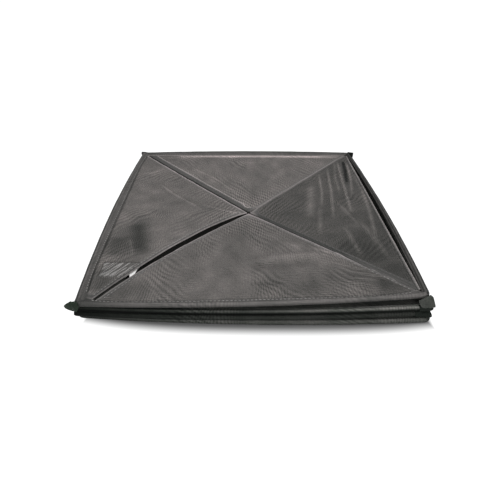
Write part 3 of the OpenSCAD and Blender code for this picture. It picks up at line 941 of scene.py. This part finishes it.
def flap_cloth(flap):
    def place(u, v):
        return flap_at(flap, *flap_plan(flap, u, v), 0)

    def tone(u, v):
        return flap_tone(flap, *flap_plan(flap, u, v))

    cloth = lay_cloth(flap + "_flap_cloth", FLAP_COLS, FLAP_ROWS, place, (1, 1), tone)
    if flap == "left":
        paint_sheer(cloth.data)
    chart = cloth.data.uv_layers.active.data
    chart.foreach_set("uv", np.stack(flap_plan(flap, *rows_of(chart, "uv", 2).T), -1).ravel())
    thicken(cloth, MESH_T)
    dress(cloth, MESH)
    bend_at_hem(cloth, flap)
    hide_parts(flap + "_flap_mesh")


HEM_ROWS = 90
HEM_TIP_Y = 0.024
HEM_SEAM = 0.78
HEM_TOP = 0.0006
HEM_T = 0.0003
HEM_PITCH = 0.0075
STITCH_SINK = 0.0003
FREE_STEPS = 120
# Each flap's two slanted hems, left and right: width, and how light its edge, middle and inner line are
# painted, as painted highlight lines and painted shade lines along the seams
SLANTED = {
    "front": ((0.008, 2.3, 0.9, 1.15), (0.006, 2.5, 1.0, 1.1)),
    "right": ((0.012, 0.3, 0.38, 0.8), (0.006, 1.9, 0.75, 0.75)),
    "back": ((0.006, 2.3, 1.0, 1.0), (0.017, 0.3, 0.64, 3.6)),
    "left": ((0.006, 3.4, 0.95, 1.1), (0.010, 2.1, 0.85, 1.8)),
}
# The same, without the width, at the outer ends of the hems of the two front seams
OUTER_TONE = {
    ("front", 0): (1.7, 0.65, 0.9), ("front", 1): (1.1, 0.85, 0.9),
    ("right", 0): (0.75, 0.6, 0.65), ("left", 1): (1.5, 0.55, 1.0),
}
# The right flap's free hem: a painted highlight along its turned edge and a painted dark line of shade at
# its inner edge.
FREE_TONE = (FREE_HEM, 2.3, 0.9, 0.25)


def hem_section():
    """Once across a folded hem, over its edge: how far in from the edge, and the height."""
    inward = np.array([1, 0.94, 0.88, 0.78, 0.68, 0.5, 0.35, 0.25, 0.16, 0.08, 0.0])
    height = HEM_TOP + 0.0006 * np.exp(-((inward - 0.12) / 0.12) ** 2)
    height = height - 0.00025 * np.exp(-((inward - HEM_SEAM) / 0.06) ** 2)
    height[-1] = 0
    return np.concatenate([inward, inward[-2::-1]]), np.concatenate([height, -height[-2::-1]])


def slanted_hem_lines(flap):
    """The edge of a flap, up its left side, round the tip and down its right, and the hem's inner line."""
    edges, inners = [], []
    if flap == "right":
        start = FREE_EDGE - FREE_HEM
    else:
        start = float(flange_edge(flap, 0.96 * HEM_HALF)) - 0.001
    for hand, (width, *_) in zip((-1, 1), SLANTED[flap]):
        y = np.linspace(-start, -HEM_TIP_Y, HEM_ROWS)
        x = flap_edge(flap, hand, y)
        run = np.minimum(width * math.sqrt(2), -y * 0.7)
        edges.append(np.stack([x, y], -1))
        inners.append(np.stack([x - hand * run, y], -1))
    tip = np.array([[0, -0.0026]]), np.array([[0, -HEM_TIP_Y + 0.0015]])
    return (np.concatenate([edges[0], tip[0], edges[1][::-1]]),
            np.concatenate([inners[0], tip[1], inners[1][::-1]]))


def free_hem_lines():
    """The right flap's outer edge, which isn't sewn to the binding, and its hem's inner line."""
    x = np.linspace(-HEM_HALF + EDGE_GAP, HEM_HALF - EDGE_GAP, FREE_STEPS)[::-1]
    y = np.full_like(x, -FREE_EDGE)
    return np.stack([x, y], -1), np.stack([x, y + FREE_HEM], -1)


def hem_tone(inward, width, edge, middle, inner):
    """The turned edge and the stitched inner line each show as a painted line about 2 mm wide: a painted
    highlight where the number is above the middle, painted shade where it is below.
    """
    bead = np.exp(-((inward * width - 0.0008) / 0.0018) ** 2)
    rim = np.exp(-(((inward - 1) * width + 0.0004) / 0.0016) ** 2)
    return middle + (edge - middle) * bead + (inner - middle) * rim


def folded_hem(name, node, flap, lines, width, tones):
    """A hem turned over along a flap's edge. Tones has one set for each half of its run."""
    edge, inner = lines
    slanted = len(edge) > 2 * HEM_ROWS
    inward, height = hem_section()

    def steps(u, v):
        return np.rint(u * (len(edge) - 1)).astype(int), np.rint(v * (len(inward) - 1)).astype(int)

    def place(u, v):
        ring, step = steps(u, v)
        plan = edge[ring] + (inner[ring] - edge[ring]) * inward[step][:, None]
        return flap_at(flap, plan[:, 0], plan[:, 1], height[step])

    def tone(u, v):
        share = inward[steps(u, v)[1]]
        near_tip = np.clip((1 - np.abs(2 * u - 1) - 0.2) / 0.25, 0, 1)
        halves = []
        for half, (across, *shades) in enumerate(tones):
            # Painted highlight and shade lines across the hem, blended towards other values near the outer
            # ends of the front seams.
            wear_and_sheen = hem_tone(share, across, *shades)
            outer = OUTER_TONE.get((flap, half), shades) if slanted else shades
            halves.append(wear_and_sheen * near_tip + hem_tone(share, across, *outer) * (1 - near_tip))
        return np.where(u < 0.5, *halves)

    length = path_length(edge)
    hem = lay_cloth(name, len(edge) - 1, len(inward) - 1, place, (length, 2 * width), tone)
    thicken(hem, HEM_T, -1)
    dress(hem, HEM)
    seam = edge + (inner - edge) * HEM_SEAM
    line = flap_at(flap, seam[:, 0], seam[:, 1], HEM_TOP - STITCH_SINK)
    row = stitch_row(name + "_stitches", line, HEM_PITCH, SHADED_THREAD if flap == "right" else THREAD)
    for piece in (hem, row):
        bend_at_hem(piece, flap)
    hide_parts(node)


for flap in SIDES:
    flap_cloth(flap)
    folded_hem(flap + "_hem_cloth", flap + "_flap_hem", flap, slanted_hem_lines(flap),
               (SLANTED[flap][0][0] + SLANTED[flap][1][0]) / 2, SLANTED[flap])
folded_hem("right_edge_cloth", "right_edge_hem", "right", free_hem_lines(), FREE_HEM, (FREE_TONE, FREE_TONE))


# A few pale stitches that show at the back of the right flap's free edge

PALE_FROM, PALE_TO = 0.170, 0.240
PALE_PITCH = 0.009


def edge_stitches():
    x = np.linspace(PALE_FROM, PALE_TO, 12)
    line = flap_at("right", x, np.full_like(x, -FREE_EDGE + 0.0035), HEM_TOP + 0.0004)
    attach(stitch_row("right_edge_pale_stitches", line, PALE_PITCH, PALE_THREAD), "right_flap")


edge_stitches()


# The pale patch under the left flap

def patch():
    def place(u, v):
        y = PATCH_IN - HEM_HALF + PATCH_L * v
        near = HEM_HALF - PATCH_BACK
        bare = np.clip((v - CORNER_FROM) / CORNER_RAMP, 0, 1) * np.clip((CORNER_TO - v) / CORNER_RAMP, 0, 1)
        far = np.minimum(near + PATCH_W, flap_edge("left", 1, y) - 0.002 + CORNER_OUT * bare)
        x = near + (far - near) * u
        return flap_at("left", x, y, -PATCH_DROP + 0.0004 * ripple(x + y, 4, 0.02))

    cloth = lay_cloth("patch_cloth", 40, 50, place, (PATCH_W, PATCH_L))
    thicken(cloth, PATCH_T)
    dress(cloth, PATCH)
    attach(cloth, "left_flap")
    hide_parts("left_patch")


patch()


# Tape ends that stand out at the corners

TAB_COLS, TAB_ROWS = 28, 16
TAB_T = 0.0012
WRAP_ROWS = 24
WRAP_T = 0.0008
WRAP_REACH = (10, 10)
WRAP_TURNS = (60, 300)


def tab(name, node, body, outline, cup, finish, move=(0, 0, 0), grow=(1, 1), lean=0.0):
    """A flat tape end in the place of its node. Outline gives its lower and upper edges along its length."""
    low, high = (np.array(corner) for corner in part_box(node))
    middle, size = (low + high) / 2 + move, (high - low) * (grow[0], 1, grow[1])

    def place(u, v):
        along = 2 * u - 1
        bottom, top = outline(along)
        up = bottom + (top - bottom) * v
        bulge = cup * (1 - along ** 2) * (1 - up ** 2)
        return np.stack([
            middle[0] + along * size[0] / 2,
            middle[1] - bulge + lean * up + 0.0005 * ripple(along, 3, 0.9),
            middle[2] + up * size[2] / 2,
        ], -1)

    piece = lay_cloth(name, TAB_COLS, TAB_ROWS, place, (size[0], size[2]))
    thicken(piece, TAB_T)
    dress(piece, finish)
    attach(piece, body)
    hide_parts(node)
    bottom, top = outline(np.linspace(-1, 1, 201))
    "_".join(node.split("_")[:2]) + "_tape"


def leaf_outline(t):
    """An arrowhead with its point outwards, cut back at the lower corner."""
    from_point = np.clip((1 + t) / 2, 0.01, 1)
    tilt = 0.15 * (1 - from_point)
    low = np.minimum(from_point / 0.72, 1) ** 0.6 - np.clip(from_point / 0.28 - 2.6, 0, 1)
    return tilt - low, tilt + np.minimum(from_point / 0.55, 1) ** 0.6


def flag_outline(t):
    """Lower and upper edges of the broad tape end, which comes to a peak and is cut at a slant."""
    return (np.interp(t, (-1, -0.67, -0.27, 0.53, 1), (-0.2, -0.9, -1, -1, -0.9)),
            np.interp(t, (-1, 0.4, 0.75, 1), (0.2, 1, 0.65, -0.6)))


def hanging_outline(t):
    return np.full_like(t, -1.0), 1 - 0.1 * (t + 1)


tab("front_left_tape_end", "top_front_left_tab", "top_hoop", leaf_outline, 0.002, GREEN_TAPE,
    move=(0.0045, -0.004, 0.0005), grow=(1.0, 1.3))
tab("back_right_tape_end", "top_back_right_tab", "top_hoop", hanging_outline, 0.001, SHADOW_TAPE,
    move=(-0.002, 0, -0.006), grow=(0.9, 2.0))
tab("front_right_tape_end", "upper_front_right_tab", "upper_hoop", flag_outline, 0.001, SHADED_TAPE,
    move=(-0.0025, 0.0085, 0.0025), grow=(0.9, 0.8), lean=0.0065)


def corner_wrap(name, hoop, side, swell):
    """A tape end turned round a corner of a hoop, outside its bindings, some rings before and after it."""
    following = SIDES[(SIDES.index(side) + 1) % 4]
    before, after = WRAP_REACH
    turn_from, turn_to = WRAP_TURNS

    def place(u, v):
        ring = np.rint(u * (before + after)).astype(int)
        angle = np.radians(turn_from + (turn_to - turn_from) * v)
        puffed = swell * (0.75 + 0.25 * ripple(u + v, 2, 0.6))
        first = tape_point(hoop, side, np.minimum(RINGS - before + ring, RINGS), 0 * u, angle, 0, puffed)
        second = tape_point(hoop, following, np.maximum(ring - before, 0), 0 * u, angle, 0, puffed)
        return np.where((ring <= before)[:, None], first, second)

    steps = np.linspace(0, 1, before + after + 1)
    lengths = [path_length(place(steps, np.full_like(steps, v))) for v in (0.1, 0.5, 0.9)]
    across = np.linspace(0, 1, WRAP_ROWS + 1)
    girths = [path_length(place(np.full_like(across, u), across)) for u in steps]
    cut = (float(np.mean(lengths)), float(np.mean(girths)))
    wrap = lay_cloth(name, before + after, WRAP_ROWS, place, cut)
    thicken(wrap, WRAP_T, 1)
    dress(wrap, SHADOW_TAPE)
    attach(wrap, HOOP_BODY[hoop])


# Both wraps wear the near-black painted-shade tape.
corner_wrap("upper_front_right_wrap", "upper", "front", 0.0016)
corner_wrap("lower_front_right_wrap", "lower", "front", 0.0018)


# Stage: white ground with a painted contact shadow, soft light from above, and the camera

CAMERA_AT = (-0.01625, -0.723, 0.4854)
CAMERA_DOWN = 38.24
CAMERA_YAW = 1.32
LENS = 27.0
SENSOR = 36.0
# The painted contact shadow on the ground, where its white glow fades out: its front, side and back, how it
# curves and leans, and how it fades
SHADOW_FRONT = 0.311
SHADOW_SIDE = 0.284
SHADOW_BACK = 0.3
SHADOW_MIDDLE = 0.006
SHADOW_CURVE = (-1.5, -0.119)
SHADOW_LEAN = (0.15, 0.0398)
SIDE_FADE = 2.5
SHADOW_FROM = 0.001
SHADOW_TO = 0.029


def ground():
    deselect_all()
    bpy.ops.mesh.primitive_plane_add(size=12, location=(0, 0, 0))
    plane = bpy.context.object
    plane.name = "ground"
    finish, w, shader = new_finish("white_ground")
    seen = w.nodes.new("ShaderNodeLightPath").outputs
    view = w.math("MAXIMUM", seen["Is Camera Ray"],
                  w.math("MAXIMUM", seen["Is Glossy Ray"], seen["Is Transmission Ray"]))
    x, y = w.split(w.nodes.new("ShaderNodeTexCoord").outputs["Object"])
    square = w.math("MULTIPLY", x, x)
    curve = w.math("MULTIPLY_ADD", square, *SHADOW_CURVE)
    lean = w.math("MULTIPLY", x, w.math("MULTIPLY_ADD", square, *SHADOW_LEAN))
    slope = w.math("MULTIPLY_ADD", square, curve, lean)
    ahead = w.math("SUBTRACT", w.math("MULTIPLY", y, -1.0), w.math("ADD", slope, SHADOW_FRONT))
    across = w.math("ABSOLUTE", w.math("SUBTRACT", x, SHADOW_MIDDLE))
    beside = w.math("MULTIPLY", w.math("SUBTRACT", across, SHADOW_SIDE), SIDE_FADE)
    beyond = w.math("MAXIMUM", w.math("MAXIMUM", ahead, w.math("SUBTRACT", y, SHADOW_BACK)), beside)
    # Seen directly, the ground glows white, but the glow fades out near the object into a painted contact
    # shadow, with the real shadow on its dark base colour showing through.
    w.feed(shader, {
        "Base Color": (0.2, 0.2, 0.2, 1),
        "Roughness": 1.0,
        "Specular IOR Level": 0.0,
        "Emission Color": (1, 1, 1, 1),
        "Emission Strength": w.math("MULTIPLY", view, w.span(beyond, SHADOW_FROM, SHADOW_TO, 0.0, 1.0)),
    })
    plane.data.materials.append(finish)


def softbox(name, place, aim, size, power):
    lamp = bpy.data.lights.new(name, "AREA")
    lamp.shape = "RECTANGLE"
    lamp.size, lamp.size_y = size
    lamp.energy = power
    holder = bpy.data.objects.new(name, lamp)
    holder.location = place
    bpy.context.scene.collection.objects.link(holder)
    look = np.array(aim) - np.array(place)
    pitch = math.atan2(math.hypot(look[0], look[1]), -look[2])
    holder.rotation_euler = (pitch, 0, math.atan2(-look[0], look[1]))


def camera():
    lens = bpy.data.cameras.new("camera")
    lens.lens = LENS
    lens.sensor_width = SENSOR
    holder = bpy.data.objects.new("camera", lens)
    holder.location = CAMERA_AT
    holder.rotation_euler = (math.radians(90 - CAMERA_DOWN), 0, math.radians(-CAMERA_YAW))
    bpy.context.scene.collection.objects.link(holder)
    bpy.context.scene.camera = holder


def daylight():
    world = bpy.data.worlds.new("studio")
    world.use_nodes = True
    w = Wiring(world.node_tree)
    seen = w.nodes.new("ShaderNodeLightPath").outputs["Is Camera Ray"]
    w.feed(w.nodes["Background"], {"Color": (1, 1, 1, 1), "Strength": w.span(seen, 0, 1, 0.35, 1.0)})
    bpy.context.scene.world = world


ground()
daylight()
softbox("overhead", (-0.1, 0.15, 1.6), (0, 0, 0), (1.1, 0.9), 11)
softbox("front", (0.1, -1.5, 0.9), (0, 0, 0), (1.6, 0.7), 16)
camera()
bpy.context.scene.view_settings.view_transform = "Standard"
